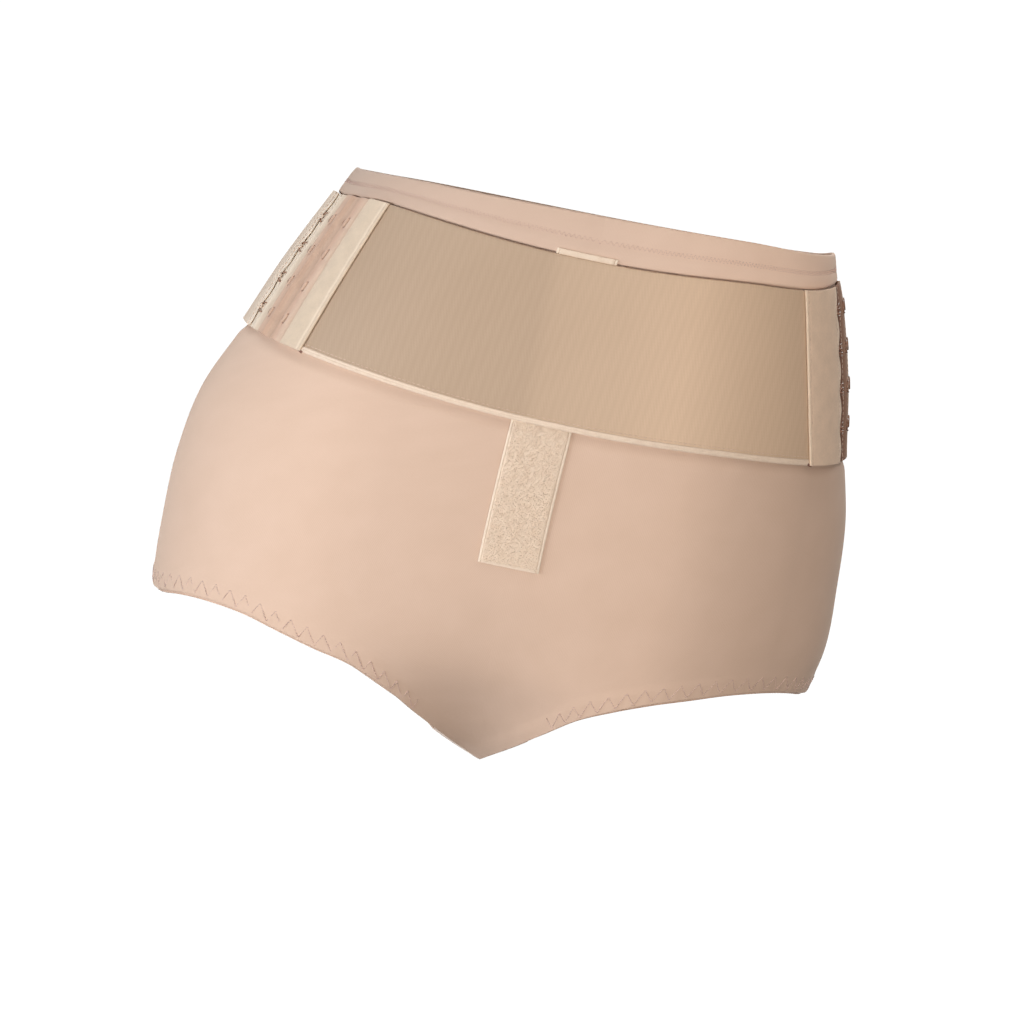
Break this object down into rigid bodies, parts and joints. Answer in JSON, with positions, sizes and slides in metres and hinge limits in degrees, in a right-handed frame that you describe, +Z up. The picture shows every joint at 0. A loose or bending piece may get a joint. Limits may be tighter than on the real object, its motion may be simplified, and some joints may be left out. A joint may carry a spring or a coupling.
{
  "type": "abdominal binder belt worn over a high-waisted support brief",
  "caption": "Support brief with a folded waistband, and over it an elastic binder belt that closes with hook-and-eye tapes at both sides.",
  "frame": {"origin": "centre of the waist opening, at the mean height of its rim at the two sides", "axes": "+Z up out of the waist opening, -Y towards the front with the pile strip, +X to the right of someone who looks at the front"},
  "size_m": [0.3385, 0.2383, 0.2937],
  "materials": {
    "knit": "smooth fine nylon and elastane knit with a faint sheen",
    "waistband_knit": "folded knit with a row of cover stitches",
    "hem_elastic": "narrow soft elastic",
    "loop_pile": "hook-and-loop pile, matted, with woven edges",
    "power_net": "two layers of fine power net",
    "belt_binding": "narrow plush elastic binding",
    "casing_tape": "smooth raised cream tape",
    "eye_tape": "brushed tape that carries the eyes",
    "hook_tape": "plain tape with a scalloped edge",
    "hook_wire": "coated steel wire"
  },
  "bodies": {
    "root": {"brief_shell": "knit", "gusset": "knit", "waistband": "waistband_knit", "leg_elastic_left": "hem_elastic", "leg_elastic_right": "hem_elastic", "loop_strip": "loop_pile", "belt_front_panel": "power_net", "belt_front_binding": "belt_binding", "belt_back_panel": "power_net", "belt_back_binding": "belt_binding", "left_casing": "casing_tape", "left_eye_tape": "eye_tape", "right_eye_tape": "eye_tape", "left_hook_tape": "hook_tape", "right_hook_tape": "hook_tape", "left_eye_1": "hook_wire", "left_eye_2": "hook_wire", "left_eye_3": "hook_wire", "left_eye_4": "hook_wire", "left_eye_5": "hook_wire", "left_eye_6": "hook_wire", "left_eye_7": "hook_wire", "left_eye_8": "hook_wire", "left_eye_9": "hook_wire", "left_eye_10": "hook_wire", "left_eye_11": "hook_wire", "left_eye_12": "hook_wire", "right_eye_1": "hook_wire", "right_eye_2": "hook_wire", "right_eye_3": "hook_wire", "right_eye_4": "hook_wire", "right_eye_5": "hook_wire", "right_eye_6": "hook_wire", "right_eye_7": "hook_wire", "right_eye_8": "hook_wire", "right_eye_9": "hook_wire", "right_eye_10": "hook_wire", "right_eye_11": "hook_wire", "right_eye_12": "hook_wire", "left_hook_1": "hook_wire", "left_hook_2": "hook_wire", "left_hook_3": "hook_wire", "left_hook_4": "hook_wire", "right_hook_1": "hook_wire", "right_hook_2": "hook_wire", "right_hook_3": "hook_wire", "right_hook_4": "hook_wire"}
  },
  "joints": []
}
